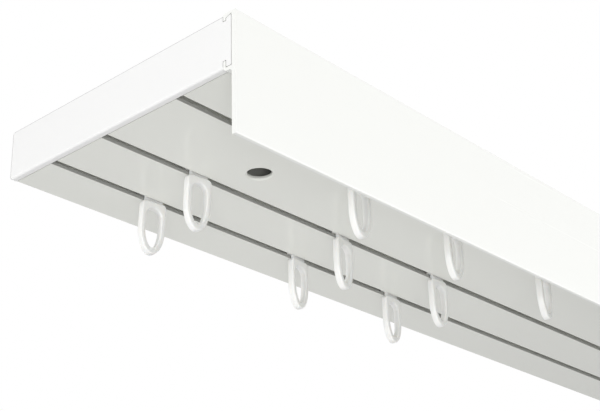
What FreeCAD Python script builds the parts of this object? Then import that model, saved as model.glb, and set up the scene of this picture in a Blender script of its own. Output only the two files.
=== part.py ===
"""Three-run ceiling curtain track: hollow rail, clip-on fascia, end caps and eyelet gliders.

Millimetres. X runs along the track, -Y is the room side with the fascia, Z is up.
The origin lies on the ceiling plane, on the screw line, midway along the track.
"""

import FreeCAD, Part
import math
import os

Vector = FreeCAD.Vector

# Whole track
LENGTH = 600.0
TRACK_HEIGHT = 22.2
FRONT_RUN_Y = -23.1
MIDDLE_RUN_Y = 19.1
REAR_RUN_Y = 50.0
SCREW_LINE_TO_FASCIA = 53.2
SCREW_LINE_TO_REAR = 74.5

# Walls of the hollow rail
WALL = 1.6
RIB = 1.4
EDGE_ROUND = 0.5

# Glider runs
CHANNEL_WIDTH = 11.0
CHANNEL_HEIGHT = 9.0
SLOT_WIDTH = 3.7
SLOT_ROUND = 0.25

# Fixing holes
SCREW_INSET = 69.0
SCREW_HOLE_RADIUS = 2.5
ACCESS_RADIUS = 5.2
ACCESS_CHAMFER = 0.6

# Fascia and its hooks
FASCIA_HEIGHT = 50.0
FASCIA_THICKNESS = 2.0
FASCIA_ROUND = 0.5
LEG_THICKNESS = 1.4
LEG_ROUND = 1.9
UPPER_LEG_ROOT = 0.9
UPPER_LEG_TIP = 1.9
HOOK_REACH = 4.2
HOOK_THICKNESS = 1.2
HOOK_ROUND = 0.35
UPPER_HOOK_DROP = 1.0
LOWER_HOOK_RISE = 2.8
CLIP_CLEARANCE = 0.3

# End caps
CAP_THICKNESS = 2.8
CAP_PROUD_REAR = 0.9
CAP_PROUD_BELOW = 0.1
CAP_BELOW_CEILING = 0.3
CAP_CORNER_ROUND = 1.4
CAP_EDGE_ROUND = 1.1
CAP_GAP = 0.4
PLUG_LENGTH = 10.0
PLUG_WALL = 1.2
PLUG_CLEARANCE = 0.15
PLUG_LEAD = 0.5

# Gliders
HEAD_LENGTH = 12.0
HEAD_SIDE_CLEARANCE = 1.0
HEAD_THICKNESS = 2.4
HEAD_CUT = 3.0
HEAD_CHAMFER = 0.7
RUNNING_CLEARANCE = 0.2
NECK_LENGTH = 9.0
NECK_SIDE_CLEARANCE = 0.8
NECK_CUT = 0.9
NECK_ROOT = 0.8
RING_BELOW_TRACK = 0.9
RING_DROP = 25.0
RING_WIDTH = 12.0
RING_WAIST = 16.0
RING_WAIST_ROUND = 12.0
RING_TIP_WIDTH = 5.2
RING_THICKNESS = 3.0
RING_SHOULDER = 2.1
RING_CROWN = 3.1
RING_FLOOR = 2.8
STRAND = 2.0

# Each glider: place along the track from the left end, turn about its neck, lean along its run (degrees)
FRONT_GLIDERS = ((104.5, 2.0, 0.0), (170.0, 5.0, 0.0), (244.0, 9.0, 0.0))
MIDDLE_GLIDERS = ((53.0, -8.0, 3.0), (143.4, 6.0, 0.5), (215.0, 0.0, 0.0))
REAR_GLIDERS = ((56.0, -9.0, 3.0), (146.8, 6.0, 0.0), (217.0, 2.0, 0.0))

# Levels and planes that the pieces share
UNDERSIDE = -TRACK_HEIGHT
LIP_TOP = UNDERSIDE + WALL
HEAD_FLOOR = LIP_TOP + RUNNING_CLEARANCE
RING_TOP = UNDERSIDE - RING_BELOW_TRACK
CHANNEL_ROOF = LIP_TOP + CHANNEL_HEIGHT
LEFT_END = -LENGTH / 2
RAIL_START = LEFT_END + CAP_THICKNESS + CAP_GAP
RAIL_LENGTH = -2 * RAIL_START
REAR_FACE = SCREW_LINE_TO_REAR
FASCIA_BACK = -SCREW_LINE_TO_FASCIA
FASCIA_FRONT = FASCIA_BACK - FASCIA_THICKNESS
HOOK_REAR = FASCIA_BACK + HOOK_REACH
HOOK_FRONT = HOOK_REAR - HOOK_THICKNESS
LOWER_LEG_TOP = UNDERSIDE - CLIP_CLEARANCE
NOSE_FRONT = FASCIA_BACK + CLIP_CLEARANCE
NOSE_TOP_FRONT = -UPPER_LEG_ROOT - CLIP_CLEARANCE
NOSE_TOP_REAR = -UPPER_LEG_TIP - CLIP_CLEARANCE
GROOVE_FRONT = HOOK_FRONT - CLIP_CLEARANCE
BODY_FRONT = HOOK_REAR + CLIP_CLEARANCE
UPPER_HOOK_TIP = -UPPER_LEG_TIP - UPPER_HOOK_DROP
UPPER_GROOVE_FLOOR = UPPER_HOOK_TIP - CLIP_CLEARANCE
LOWER_HOOK_TIP = LOWER_LEG_TOP + LOWER_HOOK_RISE
LOWER_GROOVE_ROOF = LOWER_HOOK_TIP + CLIP_CLEARANCE
RUNS = (FRONT_RUN_Y, MIDDLE_RUN_Y, REAR_RUN_Y)
SCREW_PLACES = (LEFT_END + SCREW_INSET, -LEFT_END - SCREW_INSET)


def across_track(y, z):
    """A point of a section across the track, at X = 0."""
    return Vector(0, y, z)


def along_track(x, z):
    """A point of a section along the track, at Y = 0."""
    return Vector(x, 0, z)


def in_plan(x, y):
    """A point of a plan outline, at Z = 0."""
    return Vector(x, y, 0)


def outline(corners, place):
    """Closed wire of straight runs; each corner is (u, v, rounding radius)."""
    bends = []
    for i, (u, v, radius) in enumerate(corners):
        corner = place(u, v)
        back = (place(*corners[i - 1][:2]) - corner).normalize()
        ahead = (place(*corners[(i + 1) % len(corners)][:2]) - corner).normalize()
        half_angle = back.getAngle(ahead) / 2
        trim = radius / math.tan(half_angle)
        bisector = (back + ahead).normalize()
        middle = corner + bisector * (radius / math.sin(half_angle) - radius)
        bends.append((corner + back * trim, middle, corner + ahead * trim, radius > 0))
    edges = []
    for i, (start, middle, end, rounded) in enumerate(bends):
        if rounded:
            edges.append(Part.Arc(start, middle, end).toShape())
        next_start = bends[(i + 1) % len(bends)][0]
        if end.distanceToPoint(next_start) > 1e-6:
            edges.append(Part.LineSegment(end, next_start).toShape())
    return Part.Wire(edges)


def rectangle(low_u, high_u, low_v, high_v):
    """Corners of a square-cornered rectangle."""
    return [(low_u, low_v, 0), (high_u, low_v, 0), (high_u, high_v, 0), (low_u, high_v, 0)]


def cut_rectangle(length, width, cut):
    """Corners of a rectangle about the origin with its four corners cut off at 45 degrees."""
    u = length / 2
    v = width / 2
    return [
        (cut - u, -v, 0),
        (u - cut, -v, 0),
        (u, cut - v, 0),
        (u, v - cut, 0),
        (u - cut, v, 0),
        (cut - u, v, 0),
        (-u, v - cut, 0),
        (-u, cut - v, 0),
    ]


def solid_along(wires, direction):
    """Solid swept from an outer wire with any inner wires as holes."""
    return Part.makeFace(wires, "Part::FaceMakerBullseye").extrude(direction)


def channel_corners(y):
    """Outline of one glider run, from its front slot edge over the roof to its rear slot edge."""
    slot = SLOT_WIDTH / 2
    side = CHANNEL_WIDTH / 2
    return [
        (y - slot, UNDERSIDE, SLOT_ROUND),
        (y - slot, LIP_TOP, 0),
        (y - side, LIP_TOP, 0),
        (y - side, CHANNEL_ROOF, 0),
        (y + side, CHANNEL_ROOF, 0),
        (y + side, LIP_TOP, 0),
        (y + slot, LIP_TOP, 0),
        (y + slot, UNDERSIDE, SLOT_ROUND),
    ]


def nose_corners_below():
    """Front nose and lower groove, from the nose's top edge down and back to the body."""
    return [
        (NOSE_FRONT, NOSE_TOP_FRONT, EDGE_ROUND),
        (NOSE_FRONT, UNDERSIDE, EDGE_ROUND),
        (GROOVE_FRONT, UNDERSIDE, EDGE_ROUND),
        (GROOVE_FRONT, LOWER_GROOVE_ROOF, 0),
        (BODY_FRONT, LOWER_GROOVE_ROOF, 0),
    ]


def nose_corners_above():
    """Upper groove, from the body's front face forward to the nose."""
    return [
        (BODY_FRONT, UPPER_GROOVE_FLOOR, 0),
        (GROOVE_FRONT, UPPER_GROOVE_FLOOR, 0),
        (GROOVE_FRONT, NOSE_TOP_REAR, EDGE_ROUND),
    ]


def plugged_cells():
    """Front and rear limits of the full-height cells, which take the end caps' plugs."""
    wall_out = CHANNEL_WIDTH / 2 + RIB
    return [
        (BODY_FRONT + WALL, FRONT_RUN_Y - wall_out),
        (FRONT_RUN_Y + wall_out, MIDDLE_RUN_Y - wall_out),
        (MIDDLE_RUN_Y + wall_out, REAR_RUN_Y - wall_out),
        (REAR_RUN_Y + wall_out, REAR_FACE - WALL),
    ]


def hollow_cells():
    """Wires of every closed cell in the rail's section."""
    nose_low = LOWER_GROOVE_ROOF + WALL
    nose_high = UPPER_GROOVE_FLOOR - WALL
    cells = [rectangle(NOSE_FRONT + WALL, BODY_FRONT, nose_low, nose_high)]
    for front, rear in plugged_cells():
        cells.append(rectangle(front, rear, LIP_TOP, -WALL))
    for y in RUNS:
        side = CHANNEL_WIDTH / 2
        cells.append(rectangle(y - side, y + side, CHANNEL_ROOF + RIB, -WALL))
    return [outline(cell, across_track) for cell in cells]


def fixing_hole(x):
    """Tool for one fixing: chamfered access hole below, screw hole through the top wall."""
    past = WALL / 2
    access = Part.makeCylinder(ACCESS_RADIUS, WALL + 2 * past, Vector(x, 0, UNDERSIDE - past))
    rim_radius = ACCESS_RADIUS + ACCESS_CHAMFER
    rim = Part.makeCone(rim_radius, ACCESS_RADIUS, ACCESS_CHAMFER, Vector(x, 0, UNDERSIDE))
    screw = Part.makeCylinder(SCREW_HOLE_RADIUS, WALL + 2 * past, Vector(x, 0, -WALL - past))
    return [access, rim, screw]


def track_profile():
    """Hollow rail between the end caps, drilled on the screw line."""
    corners = nose_corners_below() + [(BODY_FRONT, UNDERSIDE, EDGE_ROUND)]
    for y in RUNS:
        corners += channel_corners(y)
    corners += [
        (REAR_FACE, UNDERSIDE, EDGE_ROUND),
        (REAR_FACE, 0, EDGE_ROUND),
        (BODY_FRONT, 0, EDGE_ROUND),
    ]
    corners += nose_corners_above()
    rail = solid_along([outline(corners, across_track)] + hollow_cells(), Vector(RAIL_LENGTH, 0, 0))
    rail.translate(Vector(RAIL_START, 0, 0))
    for x in SCREW_PLACES:
        rail = rail.cut(fixing_hole(x))
    return rail


def fascia():
    """Cover strip as long as the capped track, with a hooked leg over and under the rail's nose."""
    leg_bottom = LOWER_LEG_TOP - LEG_THICKNESS
    corners = [
        (FASCIA_FRONT, 0, FASCIA_ROUND),
        (FASCIA_FRONT, -FASCIA_HEIGHT, FASCIA_ROUND),
        (FASCIA_BACK, -FASCIA_HEIGHT, FASCIA_ROUND),
        (FASCIA_BACK, leg_bottom, LEG_THICKNESS),
        (HOOK_REAR, leg_bottom, LEG_ROUND),
        (HOOK_REAR, LOWER_HOOK_TIP, HOOK_ROUND),
        (HOOK_FRONT, LOWER_HOOK_TIP, HOOK_ROUND),
        (HOOK_FRONT, LOWER_LEG_TOP, 0),
        (FASCIA_BACK, LOWER_LEG_TOP, 0),
        (FASCIA_BACK, -UPPER_LEG_ROOT, 0),
        (HOOK_FRONT, -UPPER_LEG_TIP, 0),
        (HOOK_FRONT, UPPER_HOOK_TIP, HOOK_ROUND),
        (HOOK_REAR, UPPER_HOOK_TIP, HOOK_ROUND),
        (HOOK_REAR, 0, LEG_THICKNESS / 2),
    ]
    strip = solid_along([outline(corners, across_track)], Vector(LENGTH, 0, 0))
    strip.translate(Vector(LEFT_END, 0, 0))
    return strip


def cap_plug(front, rear):
    """Open box that pushes into one hollow cell, with a tapered lead-in, growing along +X."""
    low_y = front + PLUG_CLEARANCE
    high_y = rear - PLUG_CLEARANCE
    low_z = LIP_TOP + PLUG_CLEARANCE
    high_z = -WALL - PLUG_CLEARANCE
    outside = outline(rectangle(low_y, high_y, low_z, high_z), across_track)
    taper = rectangle(low_y + PLUG_LEAD, high_y - PLUG_LEAD, low_z + PLUG_LEAD, high_z - PLUG_LEAD)
    well = rectangle(low_y + PLUG_WALL, high_y - PLUG_WALL, low_z + PLUG_WALL, high_z - PLUG_WALL)
    inside = outline(well, across_track)
    straight = PLUG_LENGTH - PLUG_LEAD
    body = solid_along([outside], Vector(straight, 0, 0))
    shoulder = outside.copy()
    shoulder.translate(Vector(straight, 0, 0))
    tip = outline(taper, across_track)
    tip.translate(Vector(PLUG_LENGTH, 0, 0))
    lead = Part.makeLoft([shoulder, tip], True, True)
    hollow = solid_along([inside], Vector(PLUG_LENGTH, 0, 0))
    return body.fuse(lead).cut(hollow)


def end_cap():
    """Left end cap: plate with softened edges, and a plug for each full-height cell."""
    cap_floor = UNDERSIDE - CAP_PROUD_BELOW
    cap_rear = REAR_FACE + CAP_PROUD_REAR
    corners = nose_corners_below() + [
        (BODY_FRONT, cap_floor, 0),
        (cap_rear, cap_floor, CAP_CORNER_ROUND),
        (cap_rear, -CAP_BELOW_CEILING, CAP_CORNER_ROUND),
        (BODY_FRONT, -CAP_BELOW_CEILING, 0),
    ]
    corners += nose_corners_above()
    plate = solid_along([outline(corners, across_track)], Vector(CAP_THICKNESS, 0, 0))
    soft_edges = []
    for edge in plate.Edges:
        box = edge.BoundBox
        if box.XMax < CAP_THICKNESS / 2 and box.YMax > BODY_FRONT + CAP_EDGE_ROUND:
            soft_edges.append(edge)
    plate = plate.makeFillet(CAP_EDGE_ROUND, soft_edges)
    plate.translate(Vector(LEFT_END, 0, 0))
    for front, rear in plugged_cells():
        plug = cap_plug(front, rear)
        plug.translate(Vector(LEFT_END + CAP_THICKNESS, 0, 0))
        plate = plate.fuse(plug)
    return plate.removeSplitter()


def glider_head():
    """Flat head with cut corners and eased top edges, riding on the two lips of a run."""
    width = CHANNEL_WIDTH - 2 * HEAD_SIDE_CLEARANCE
    plan = outline(cut_rectangle(HEAD_LENGTH, width, HEAD_CUT), in_plan)
    head = solid_along([plan], Vector(0, 0, HEAD_THICKNESS))
    top_edges = [edge for edge in head.Edges if edge.BoundBox.ZMin > HEAD_THICKNESS / 2]
    head = head.makeChamfer(HEAD_CHAMFER, top_edges)
    head.translate(Vector(0, 0, HEAD_FLOOR))
    return head


def glider_neck():
    """Short neck through the slot, from the head into the crown of the ring."""
    thickness = SLOT_WIDTH - 2 * NECK_SIDE_CLEARANCE
    bottom = RING_TOP - NECK_ROOT
    plan = outline(cut_rectangle(NECK_LENGTH, thickness, NECK_CUT), in_plan)
    neck = solid_along([plan], Vector(0, 0, HEAD_FLOOR - bottom))
    neck.translate(Vector(0, 0, bottom))
    return neck


def tapered_loop(half, tip_half, top, waist, bottom, shoulder, waist_round):
    """Corners of an upright loop: straight sides to its waist, then a taper to a round tip."""
    slope = math.atan2(half - tip_half, waist - bottom)
    tip_round = tip_half * math.tan(math.pi / 4 + slope / 2)
    return [
        (-half, top, shoulder),
        (-half, waist, waist_round),
        (-tip_half, bottom, tip_round),
        (tip_half, bottom, tip_round),
        (half, waist, waist_round),
        (half, top, shoulder),
    ]


def glider_ring():
    """Hanging ring: square-shouldered at the top, tapered below, with an even strand round its eye."""
    half = RING_WIDTH / 2
    tip_half = RING_TIP_WIDTH / 2
    waist = UNDERSIDE - RING_WAIST
    bottom = UNDERSIDE - RING_DROP
    slope = math.atan2(half - tip_half, waist - bottom)
    eye_half = half - STRAND
    eye_waist = waist + STRAND * math.tan(slope / 2)
    eye_bottom = bottom + RING_FLOOR
    eye_tip_half = eye_half - (eye_waist - eye_bottom) * math.tan(slope)
    ring_corners = tapered_loop(half, tip_half, RING_TOP, waist, bottom, RING_SHOULDER, RING_WAIST_ROUND)
    eye_corners = tapered_loop(
        eye_half, eye_tip_half, RING_TOP - RING_CROWN, eye_waist, eye_bottom, eye_half, RING_WAIST_ROUND - STRAND
    )
    through = Vector(0, RING_THICKNESS, 0)
    ring = solid_along([outline(ring_corners, along_track)], through)
    ring = ring.cut(solid_along([outline(eye_corners, along_track)], through))
    ring.translate(through * -0.5)
    return ring


def glider():
    """One moulded glider at X = 0, Y = 0."""
    return glider_head().fuse([glider_neck(), glider_ring()]).removeSplitter()


def hung_glider(upright, turn, lean):
    """Copy of the upright glider that leans on one end of its head and is turned about its neck."""
    piece = upright.copy()
    piece.rotate(Vector(0, 0, HEAD_FLOOR), Vector(0, 1, 0), lean)
    piece.translate(Vector(0, 0, HEAD_LENGTH / 2 * math.sin(math.radians(lean))))
    piece.rotate(Vector(0, 0, 0), Vector(0, 0, 1), turn)
    return piece


def export(shape, node):
    """Writes one piece as its own file."""
    shape.exportStep(os.path.join("parts", node + ".step"))


os.makedirs("parts", exist_ok=True)
export(track_profile(), "track_profile")
export(fascia(), "fascia")
left_cap = end_cap()
export(left_cap, "end_cap_left")
export(left_cap.mirror(Vector(0, 0, 0), Vector(1, 0, 0)), "end_cap_right")
upright_glider = glider()
for run, y, places in (
    ("front", FRONT_RUN_Y, FRONT_GLIDERS),
    ("middle", MIDDLE_RUN_Y, MIDDLE_GLIDERS),
    ("rear", REAR_RUN_Y, REAR_GLIDERS),
):
    for number, (place, turn, lean) in enumerate(places, start=1):
        piece = hung_glider(upright_glider, turn, lean)
        piece.translate(Vector(LEFT_END + place, y, 0))
        export(piece, f"glider_{run}_{number}")
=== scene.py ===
import math

import bmesh
import bpy
from mathutils import Matrix, Vector


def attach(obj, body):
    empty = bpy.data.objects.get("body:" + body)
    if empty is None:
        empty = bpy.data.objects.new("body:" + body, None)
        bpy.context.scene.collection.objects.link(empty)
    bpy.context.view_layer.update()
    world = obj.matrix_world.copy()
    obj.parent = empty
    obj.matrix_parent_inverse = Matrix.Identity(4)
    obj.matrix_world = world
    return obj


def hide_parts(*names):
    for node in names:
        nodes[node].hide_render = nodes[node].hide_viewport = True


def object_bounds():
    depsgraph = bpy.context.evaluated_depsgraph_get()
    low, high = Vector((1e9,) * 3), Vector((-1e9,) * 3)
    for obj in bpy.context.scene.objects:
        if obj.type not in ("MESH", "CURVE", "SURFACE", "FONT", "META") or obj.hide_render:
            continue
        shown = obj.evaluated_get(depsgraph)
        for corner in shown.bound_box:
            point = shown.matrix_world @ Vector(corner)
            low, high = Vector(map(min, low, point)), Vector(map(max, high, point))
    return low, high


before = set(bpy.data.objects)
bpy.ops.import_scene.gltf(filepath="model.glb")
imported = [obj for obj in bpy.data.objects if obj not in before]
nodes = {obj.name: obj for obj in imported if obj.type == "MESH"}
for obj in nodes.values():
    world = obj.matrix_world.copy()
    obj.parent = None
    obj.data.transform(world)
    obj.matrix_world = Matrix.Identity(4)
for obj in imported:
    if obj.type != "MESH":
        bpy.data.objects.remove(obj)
cad_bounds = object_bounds()
MM = 0.001

# Camera, fitted to the photograph's edges
CAMERA_PLACE = Vector((-572.9, -326.1, -257.1)) * MM
CAMERA_YAW = math.radians(48.32)
CAMERA_PITCH = math.radians(25.01)
CAMERA_ROLL = math.radians(-1.64)
CAMERA_LENS = 77.34
CAMERA_SENSOR = 36.0
CAMERA_CLIP = 0.01

# Stage, in m, and the even light around it
WHITE = (1.0, 1.0, 1.0, 1.0)
FLOOR_BELOW = 1.3
FLOOR_HALF = 24.0
FLOOR_COLOUR = (0.80, 0.80, 0.80, 1.0)
FLOOR_ROUGHNESS = 0.9
FLOOR_PALENESS = 0.24
BACKDROP_STRENGTH = 1.0
AMBIENT_STRENGTH = 0.495

# Soft lamps: name, place, aim, width and height in m, power in watts, spread in degrees
SOFTBOXES = (
    ("front_softbox", (1.9, -2.7, 0.3), (0.0, 0.0, -0.03), 2.4, 0.6, 55.8, 180.0),
    ("left_softbox", (-3.2, 0.1, -0.15), (0.0, 0.0, -0.02), 1.2, 1.0, 32.8, 180.0),
    ("viewer_softbox", (-1.15, -0.95, -0.6), (-0.15, 0.0, -0.03), 0.5, 0.5, 5.0, 180.0),
    ("beam_softbox", (-0.16, 0.02, -0.95), (-0.16, 0.02, -0.02), 0.2, 0.3, 0.024, 32.0),
)

# Runs of the rail: the Y of each slot, in mm
RUNS = {"front": -23.1, "middle": 19.1, "rear": 50.0}

# Gliders in each run: X in mm, turn about the neck and lean along the run in degrees
GLIDERS = {
    "front": ((-195.5, 2.0, 0.0), (-130.0, 5.0, 0.0), (-56.0, 9.0, 0.0)),
    "middle": ((-247.0, -8.0, 3.0), (-156.6, 6.0, 0.5), (-85.0, 0.0, 0.0)),
    "rear": ((-244.0, -9.0, 3.0), (-153.2, 6.0, 0.0), (-83.0, 2.0, 0.0)),
}

# Gliders: levels and sizes in mm, and the steps of their round stretches
UNDERSIDE = -22.2
HEAD_FLOOR = UNDERSIDE + 1.8
HEAD_SIZE = (12.0, 9.0, 2.4)
HEAD_CUT = 3.0
HEAD_STEPS = 1
NECK_SIZE = (9.0, 2.1, 3.5)
NECK_INTO_HEAD = 0.1
NECK_ROUND = 0.9
NECK_STEPS = 4
RING_TOP = UNDERSIDE - 0.9
RING_WAIST = UNDERSIDE - 13.0
RING_BOTTOM = UNDERSIDE - 25.0
RING_HALF = 6.0
RING_SHOULDER = 2.1
RING_THICKNESS = 3.3
RING_STEPS = 64
EYE_TOP = UNDERSIDE - 4.0
EYE_BOTTOM = UNDERSIDE - 22.2
EYE_HALF = 3.75
STRAND_ROUND = 0.65
STRAND_STEPS = 5

# Tolerance on a circle of radius 1, and the angles in radians past which edges are rounded or creased
CIRCLE_TOLERANCE = 1e-4
RIM_ANGLE = 1.2
CREASE_ANGLE = 0.6

# Slots' lips, in mm, and how dark the painted shade in the slots makes their colour
SLOT_REACH = 2.3
LIP_MIDDLE = UNDERSIDE + 1.0
LIP_REACH = 0.92
LIP_SHADE = 0.57

# Caps' outer edges, in mm, and how dark the painted shade on them makes their colour
RIM_REACH = 1.05
RIM_SHADE = 0.6

# Finishes: linear colours, and how dark their uneven places are
RAIL_WHITE = (0.85, 0.857, 0.81, 1.0)
FASCIA_WHITE = (0.90, 0.907, 0.88, 1.0)
CAP_WHITE = (0.90, 0.90, 0.895, 1.0)
GLIDER_WHITE = (0.90, 0.90, 0.885, 1.0)
UNEVEN_SHADE = 0.985

# Extruded skin: noise scales per m, and how far the noise is drawn out along X
LINE_SCALE = 900.0
LINE_STRETCH = (0.004, 1.0, 1.0)
LINE_BUMP = 0.3
WAVE_SCALE = 22.0
WAVE_STRETCH = (0.12, 1.0, 1.0)
PVC_IOR = 1.53

# Moulded skin: noise scales per m, and the light scattered inside
GRAIN_SCALE = 4200.0
GRAIN_BUMP = 0.25
FLOW_SCALE = 38.0
MOULDED_IOR = 1.5
SCATTER_RADIUS = (1.0, 0.9, 0.8)
SCATTER_SCALE = 0.8 * MM


def new_group(name, outputs):
    """Empty shader node group with the given value outputs; the sockets they take come back too."""
    group = bpy.data.node_groups.new(name, "ShaderNodeTree")
    for label in outputs:
        group.interface.new_socket(label, in_out="OUTPUT", socket_type="NodeSocketFloat")
    return group, group.nodes.new("NodeGroupOutput").inputs


def group_input(group, label, default):
    """Named value input of a group; its socket inside the group comes back."""
    socket = group.interface.new_socket(label, in_out="INPUT", socket_type="NodeSocketFloat")
    socket.default_value = default
    return group.nodes.new("NodeGroupInput").outputs[label]


def object_place(tree):
    """Object coordinates."""
    return tree.nodes.new("ShaderNodeTexCoord").outputs["Object"]


def stretched_place(tree, scale):
    """Object coordinates stretched by the given scale."""
    mapping = tree.nodes.new("ShaderNodeMapping")
    mapping.inputs["Scale"].default_value = scale
    tree.links.new(object_place(tree), mapping.inputs["Vector"])
    return mapping.outputs["Vector"]


def object_axes(tree):
    """X, Y and Z of the object coordinates."""
    split = tree.nodes.new("ShaderNodeSeparateXYZ")
    tree.links.new(object_place(tree), split.inputs["Vector"])
    return split.outputs


def value_noise(tree, place, scale, detail, roughness):
    """Noise value on given coordinates, with its scale taken from a socket."""
    noise = tree.nodes.new("ShaderNodeTexNoise")
    noise.inputs["Detail"].default_value = detail
    noise.inputs["Roughness"].default_value = roughness
    tree.links.new(place, noise.inputs["Vector"])
    tree.links.new(scale, noise.inputs["Scale"])
    return noise.outputs["Fac"]


def distance_from_middle(tree, value):
    """Value without its sign."""
    node = tree.nodes.new("ShaderNodeMath")
    node.operation = "ABSOLUTE"
    tree.links.new(value, node.inputs[0])
    return node.outputs[0]


def near_value(tree, value, target, reach):
    """1 where a value lies within reach of the target, else 0."""
    near = tree.nodes.new("ShaderNodeMath")
    near.operation = "COMPARE"
    near.inputs[1].default_value = target
    near.inputs[2].default_value = reach
    tree.links.new(value, near.inputs[0])
    return near.outputs[0]


def joined(tree, first, second, operation):
    """Two values put together by one operation."""
    node = tree.nodes.new("ShaderNodeMath")
    node.operation = operation
    tree.links.new(first, node.inputs[0])
    tree.links.new(second, node.inputs[1])
    return node.outputs[0]


def extruded_skin_group():
    """Fine die lines along the extrusion, with a broad waviness under them."""
    group, results = new_group("extruded_skin", ["Lines", "Waves"])
    line_scale = group_input(group, "Line Scale", LINE_SCALE)
    wave_scale = group_input(group, "Wave Scale", WAVE_SCALE)
    line_place = stretched_place(group, LINE_STRETCH)
    wave_place = stretched_place(group, WAVE_STRETCH)
    lines = value_noise(group, line_place, line_scale, detail=3.0, roughness=0.5)
    waves = value_noise(group, wave_place, wave_scale, detail=2.0, roughness=0.5)
    group.links.new(lines, results["Lines"])
    group.links.new(waves, results["Waves"])
    return group


def moulded_skin_group():
    """Fine grain of a moulded face and the soft flow marks under it."""
    group, results = new_group("moulded_skin", ["Grain", "Flow"])
    grain_scale = group_input(group, "Grain Scale", GRAIN_SCALE)
    flow_scale = group_input(group, "Flow Scale", FLOW_SCALE)
    grain = value_noise(group, object_place(group), grain_scale, detail=2.0, roughness=0.5)
    flow = value_noise(group, object_place(group), flow_scale, detail=3.0, roughness=0.55)
    group.links.new(grain, results["Grain"])
    group.links.new(flow, results["Flow"])
    return group


def slot_lip_painted_shade_group():
    """Mask of the slots' lips, where shade is painted into the colour to darken the slots."""
    group, results = new_group("slot_lip_painted_shade", ["Mask"])
    axes = object_axes(group)
    at_lip = near_value(group, axes["Z"], LIP_MIDDLE * MM, LIP_REACH * MM)
    front, middle, rear = (near_value(group, axes["Y"], y * MM, SLOT_REACH * MM) for y in RUNS.values())
    in_slot = joined(group, joined(group, front, middle, "MAXIMUM"), rear, "MAXIMUM")
    group.links.new(joined(group, at_lip, in_slot, "MULTIPLY"), results["Mask"])
    return group


def cap_rim_painted_shade_group():
    """Mask of the caps' rounded outer edges along the ceiling and the rear, where shade is painted into
    the colour.
    """
    group, results = new_group("cap_rim_painted_shade", ["Mask"])
    axes = object_axes(group)
    end, rear, ceiling = cad_bounds[1]
    from_middle = distance_from_middle(group, axes["X"])
    at_end = near_value(group, from_middle, end, RIM_REACH * MM)
    at_rear = near_value(group, axes["Y"], rear, RIM_REACH * MM)
    at_ceiling = near_value(group, axes["Z"], ceiling, RIM_REACH * MM)
    at_edge = joined(group, at_ceiling, at_rear, "MAXIMUM")
    group.links.new(joined(group, at_end, at_edge, "MULTIPLY"), results["Mask"])
    return group


def new_material(name):
    """Material with a bare Principled shader."""
    material = bpy.data.materials.new(name)
    material.use_nodes = True
    tree = material.node_tree
    return material, tree, tree.nodes["Principled BSDF"]


def placed_group(tree, group):
    """Results of a node group placed in a material."""
    place = tree.nodes.new("ShaderNodeGroup")
    place.node_tree = group
    return place.outputs


def spread_value(tree, value, low, high):
    """Value spread from 0..1 onto low..high."""
    node = tree.nodes.new("ShaderNodeMapRange")
    node.inputs["To Min"].default_value = low
    node.inputs["To Max"].default_value = high
    tree.links.new(value, node.inputs["Value"])
    return node.outputs["Result"]


def uneven(tree, amount, colour):
    """Colour that darkens slightly where amount is low."""
    mix = tree.nodes.new("ShaderNodeMix")
    mix.data_type = "RGBA"
    mix.inputs["A"].default_value = [channel * UNEVEN_SHADE for channel in colour[:3]] + [1.0]
    mix.inputs["B"].default_value = colour
    tree.links.new(amount, mix.inputs["Factor"])
    return mix.outputs["Result"]


def darkened_where_masked(tree, colour, painted_shade):
    """Colour with shade painted in where a mask group covers it; the third argument is that group and
    its shade, or None.
    """
    if painted_shade is None:
        return colour
    group, shade = painted_shade
    mix = tree.nodes.new("ShaderNodeMix")
    mix.data_type = "RGBA"
    mix.blend_type = "MULTIPLY"
    mix.inputs["B"].default_value = (shade, shade, shade, 1.0)
    tree.links.new(placed_group(tree, group)["Mask"], mix.inputs["Factor"])
    tree.links.new(colour, mix.inputs["A"])
    return mix.outputs["Result"]


def bumped(tree, height, distance, strength):
    """Normal from a height value."""
    bump = tree.nodes.new("ShaderNodeBump")
    bump.inputs["Distance"].default_value = distance
    bump.inputs["Strength"].default_value = strength
    tree.links.new(height, bump.inputs["Height"])
    return bump.outputs["Normal"]


def extruded_pvc(name, colour, painted_shade, roughness, line_depth):
    """White extruded plastic with die lines along X, and painted shade where a mask is given; roughness
    runs from a low to a high value.
    """
    material, tree, shader = new_material(name)
    skin = placed_group(tree, EXTRUDED_SKIN)
    waved = uneven(tree, skin["Waves"], colour)
    tree.links.new(darkened_where_masked(tree, waved, painted_shade), shader.inputs["Base Color"])
    tree.links.new(spread_value(tree, skin["Lines"], *roughness), shader.inputs["Roughness"])
    tree.links.new(bumped(tree, skin["Lines"], line_depth, LINE_BUMP), shader.inputs["Normal"])
    shader.inputs["IOR"].default_value = PVC_IOR
    return material


def moulded_plastic(name, colour, painted_shade, roughness, grain_depth, gloss, glow):
    """White moulded plastic with a fine grain, and painted shade where a mask is given; glow is the
    share of light scattered inside.
    """
    material, tree, shader = new_material(name)
    skin = placed_group(tree, MOULDED_SKIN)
    flowed = uneven(tree, skin["Flow"], colour)
    tree.links.new(darkened_where_masked(tree, flowed, painted_shade), shader.inputs["Base Color"])
    tree.links.new(spread_value(tree, skin["Flow"], *roughness), shader.inputs["Roughness"])
    tree.links.new(bumped(tree, skin["Grain"], grain_depth, GRAIN_BUMP), shader.inputs["Normal"])
    shader.inputs["IOR"].default_value = MOULDED_IOR
    shader.inputs["Specular IOR Level"].default_value = gloss
    shader.inputs["Subsurface Weight"].default_value = glow
    shader.inputs["Subsurface Radius"].default_value = SCATTER_RADIUS
    shader.inputs["Subsurface Scale"].default_value = SCATTER_SCALE
    return material


def finish_node(node, material):
    """Gives a carried-over solid its finish."""
    for slot in nodes[node].material_slots:
        slot.material = material


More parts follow.
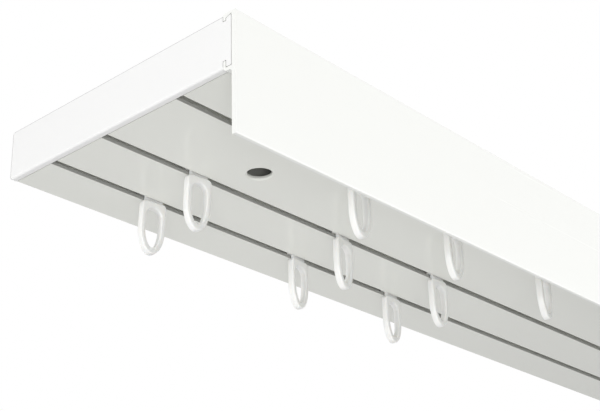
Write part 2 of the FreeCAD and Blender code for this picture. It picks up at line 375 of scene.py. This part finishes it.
def round_edges(shape, edges, radius, steps):
    """Rounds edges to a radius; one step makes a flat cut."""
    bmesh.ops.bevel(shape, geom=edges, offset=radius, offset_type="OFFSET", segments=steps,
                    profile=0.5, affect="EDGES", clamp_overlap=True, material=-1)


def loop_outline(shape, half, top, bottom, shoulder):
    """Closed upright loop: rounded shoulders, straight sides to the waist and half an ellipse below."""
    outline = bmesh.ops.create_circle(shape, segments=RING_STEPS, radius=1.0)["verts"]
    for vert in outline:
        x, z = vert.co.x, vert.co.y
        if z > -CIRCLE_TOLERANCE:
            side = 0.0 if abs(x) < CIRCLE_TOLERANCE else math.copysign(half - shoulder, x)
            vert.co = (side + x * shoulder, -RING_THICKNESS / 2, top - shoulder + z * shoulder)
        else:
            vert.co = (x * half, -RING_THICKNESS / 2, RING_WAIST + z * (RING_WAIST - bottom))
    return outline


def add_ring(shape):
    """Hanging ring with rounded strands."""
    loops = loop_outline(shape, RING_HALF, RING_TOP, RING_BOTTOM, RING_SHOULDER)
    loops += loop_outline(shape, EYE_HALF, EYE_TOP, EYE_BOTTOM, EYE_HALF)
    edges = {edge for vert in loops for edge in vert.link_edges}
    face = bmesh.ops.bridge_loops(shape, edges=list(edges))["faces"]
    block = bmesh.ops.extrude_face_region(shape, geom=face)["geom"]
    back = [item for item in block if isinstance(item, bmesh.types.BMVert)]
    bmesh.ops.translate(shape, verts=back, vec=(0, RING_THICKNESS, 0))
    bmesh.ops.recalc_face_normals(shape, faces=shape.faces)
    shared = [edge for edge in shape.edges if len(edge.link_faces) == 2]
    rims = [edge for edge in shared if edge.calc_face_angle() > RIM_ANGLE]
    round_edges(shape, rims, STRAND_ROUND, STRAND_STEPS)


def add_block(shape, size, floor, cut, steps):
    """Upright block about X = 0, Y = 0 with its four standing edges cut or rounded."""
    verts = bmesh.ops.create_cube(shape, size=1.0)["verts"]
    bmesh.ops.scale(shape, verts=verts, vec=size)
    bmesh.ops.translate(shape, verts=verts, vec=(0, 0, floor + size[2] / 2))
    edges = {edge for vert in verts for edge in vert.link_edges}
    standing = [edge for edge in edges if abs(edge.verts[0].co.z - edge.verts[1].co.z) > size[2] / 2]
    round_edges(shape, standing, cut, steps)


def glider_shape():
    """Ring, neck and head of one glider, upright about X = 0, Y = 0, in mm."""
    shape = bmesh.new()
    add_ring(shape)
    add_block(shape, NECK_SIZE, HEAD_FLOOR - NECK_SIZE[2] + NECK_INTO_HEAD, NECK_ROUND, NECK_STEPS)
    add_block(shape, HEAD_SIZE, HEAD_FLOOR, HEAD_CUT, HEAD_STEPS)
    return shape


def hung_place(x, y, turn, lean):
    """Where a glider hangs: leaned on its head's floor, lifted clear of the lips, turned and moved."""
    lift = HEAD_SIZE[0] / 2 * math.sin(math.radians(lean))
    pivot = Matrix.Translation((0, 0, HEAD_FLOOR))
    leaning = pivot @ Matrix.Rotation(math.radians(lean), 4, "Y") @ pivot.inverted()
    turned = Matrix.Rotation(math.radians(turn), 4, "Z")
    return Matrix.Translation((x, y, lift)) @ turned @ leaning


def shade_smooth(shape):
    """Smooth shading, broken at sharp edges."""
    for face in shape.faces:
        face.smooth = True
    for edge in shape.edges:
        edge.smooth = edge.calc_face_angle(0.0) < CREASE_ANGLE


def hang_glider(node, place):
    """Moulded glider with rounded strands in place of the plain solid."""
    shape = glider_shape()
    bmesh.ops.transform(shape, matrix=Matrix.Scale(MM, 4) @ place, verts=shape.verts)
    shade_smooth(shape)
    mesh = bpy.data.meshes.new(node + "_moulding")
    shape.to_mesh(mesh)
    shape.free()
    mesh.materials.append(glider_nylon)
    piece = bpy.data.objects.new(node + "_moulding", mesh)
    bpy.context.scene.collection.objects.link(piece)
    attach(piece, node)
    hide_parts(node)


def add_camera():
    """Camera at the photograph's place, turned by yaw, pitch and roll."""
    forward = Vector((
        math.sin(CAMERA_YAW) * math.cos(CAMERA_PITCH),
        math.cos(CAMERA_YAW) * math.cos(CAMERA_PITCH),
        math.sin(CAMERA_PITCH),
    ))
    level = Vector((math.cos(CAMERA_YAW), -math.sin(CAMERA_YAW), 0.0))
    upright = level.cross(forward)
    right = level * math.cos(CAMERA_ROLL) + upright * math.sin(CAMERA_ROLL)
    up = upright * math.cos(CAMERA_ROLL) - level * math.sin(CAMERA_ROLL)
    data = bpy.data.cameras.new("photo_camera")
    data.lens = CAMERA_LENS
    data.sensor_width = CAMERA_SENSOR
    data.clip_start = CAMERA_CLIP
    camera = bpy.data.objects.new("photo_camera", data)
    turn = Matrix((right, up, -forward)).transposed().to_4x4()
    camera.matrix_world = Matrix.Translation(CAMERA_PLACE) @ turn
    bpy.context.scene.collection.objects.link(camera)
    bpy.context.scene.camera = camera


def add_softbox(name, place, aim, width, height, power, spread):
    """Rectangular lamp at a place, facing a point."""
    data = bpy.data.lights.new(name, "AREA")
    data.shape = "RECTANGLE"
    data.size = width
    data.size_y = height
    data.energy = power
    data.spread = math.radians(spread)
    lamp = bpy.data.objects.new(name, data)
    lamp.location = place
    lamp.rotation_euler = (Vector(aim) - Vector(place)).to_track_quat("-Z", "Y").to_euler()
    bpy.context.scene.collection.objects.link(lamp)


def seen_directly(tree):
    """1 for rays that come from the camera, straight or by gloss or glass, else 0."""
    path = tree.nodes.new("ShaderNodeLightPath")
    seen = joined(tree, path.outputs["Is Camera Ray"], path.outputs["Is Glossy Ray"], "MAXIMUM")
    return joined(tree, seen, path.outputs["Is Transmission Ray"], "MAXIMUM")


def mixed_shaders(tree, share, first, second):
    """The first shader where share is 0, and the second where it is 1."""
    mix = tree.nodes.new("ShaderNodeMixShader")
    tree.links.new(share, mix.inputs["Fac"])
    tree.links.new(first, mix.inputs[1])
    tree.links.new(second, mix.inputs[2])
    return mix.outputs["Shader"]


def even_white(tree, strength):
    """World light of one white from all sides."""
    background = tree.nodes.new("ShaderNodeBackground")
    background.inputs["Color"].default_value = WHITE
    background.inputs["Strength"].default_value = strength
    return background.outputs["Background"]


def add_world():
    """White to the camera and in reflections, and a weaker white for the light itself."""
    world = bpy.data.worlds.new("studio")
    world.use_nodes = True
    tree = world.node_tree
    tree.nodes.clear()
    light = even_white(tree, AMBIENT_STRENGTH)
    backdrop = even_white(tree, BACKDROP_STRENGTH)
    result = tree.nodes.new("ShaderNodeOutputWorld")
    tree.links.new(mixed_shaders(tree, seen_directly(tree), light, backdrop), result.inputs["Surface"])
    bpy.context.scene.world = world


def floor_paint():
    """Pale paint, a little paler to the camera than it is lit, and clear when seen from beneath."""
    material, tree, shader = new_material("floor_paint")
    shader.inputs["Base Color"].default_value = FLOOR_COLOUR
    shader.inputs["Roughness"].default_value = FLOOR_ROUGHNESS
    white = tree.nodes.new("ShaderNodeEmission")
    white.inputs["Color"].default_value = WHITE
    white.inputs["Strength"].default_value = BACKDROP_STRENGTH
    material.cycles.emission_sampling = "NONE"
    paleness = spread_value(tree, seen_directly(tree), 0.0, FLOOR_PALENESS)
    pale = mixed_shaders(tree, paleness, shader.outputs["BSDF"], white.outputs["Emission"])
    clear = tree.nodes.new("ShaderNodeBsdfTransparent")
    beneath = tree.nodes.new("ShaderNodeNewGeometry").outputs["Backfacing"]
    surface = mixed_shaders(tree, beneath, pale, clear.outputs["BSDF"])
    tree.links.new(surface, tree.nodes["Material Output"].inputs["Surface"])
    return material


def add_floor():
    """Plain floor, well below the track."""
    mesh = bpy.data.meshes.new("floor")
    shape = bmesh.new()
    bmesh.ops.create_grid(shape, x_segments=1, y_segments=1, size=FLOOR_HALF)
    bmesh.ops.translate(shape, verts=shape.verts, vec=(0, 0, -FLOOR_BELOW))
    shape.to_mesh(mesh)
    shape.free()
    mesh.materials.append(floor_paint())
    floor = bpy.data.objects.new("floor", mesh)
    bpy.context.scene.collection.objects.link(floor)


EXTRUDED_SKIN = extruded_skin_group()
MOULDED_SKIN = moulded_skin_group()
# Painted shade: masks that darken the colour of the slots' lips and of the caps' top and rear edges
SLOT_LIP_PAINTED_SHADE = (slot_lip_painted_shade_group(), LIP_SHADE)
CAP_RIM_PAINTED_SHADE = (cap_rim_painted_shade_group(), RIM_SHADE)

# The rail's slot lips carry painted shade
rail_pvc = extruded_pvc(
    "rail_pvc_white", RAIL_WHITE, SLOT_LIP_PAINTED_SHADE, roughness=(0.1, 0.15), line_depth=0.01 * MM)
fascia_pvc = extruded_pvc(
    "fascia_pvc_white", FASCIA_WHITE, None, roughness=(0.2, 0.3), line_depth=0.006 * MM)
# The caps' top and rear edges carry painted shade
cap_plastic = moulded_plastic(
    "cap_plastic_white", CAP_WHITE, CAP_RIM_PAINTED_SHADE, roughness=(0.42, 0.52), grain_depth=0.02 * MM,
    gloss=0.1, glow=0.0)
glider_nylon = moulded_plastic(
    "glider_nylon_white", GLIDER_WHITE, None, roughness=(0.28, 0.38), grain_depth=0.01 * MM,
    gloss=0.4, glow=0.25)

finish_node("track_profile", rail_pvc)
finish_node("fascia", fascia_pvc)
finish_node("end_cap_left", cap_plastic)
finish_node("end_cap_right", cap_plastic)
for run, hung in GLIDERS.items():
    for number, (x, turn, lean) in enumerate(hung, start=1):
        hang_glider(f"glider_{run}_{number}", hung_place(x, RUNS[run], turn, lean))

add_world()
add_floor()
for softbox in SOFTBOXES:
    add_softbox(*softbox)
add_camera()
bpy.context.scene.view_settings.view_transform = "Standard"
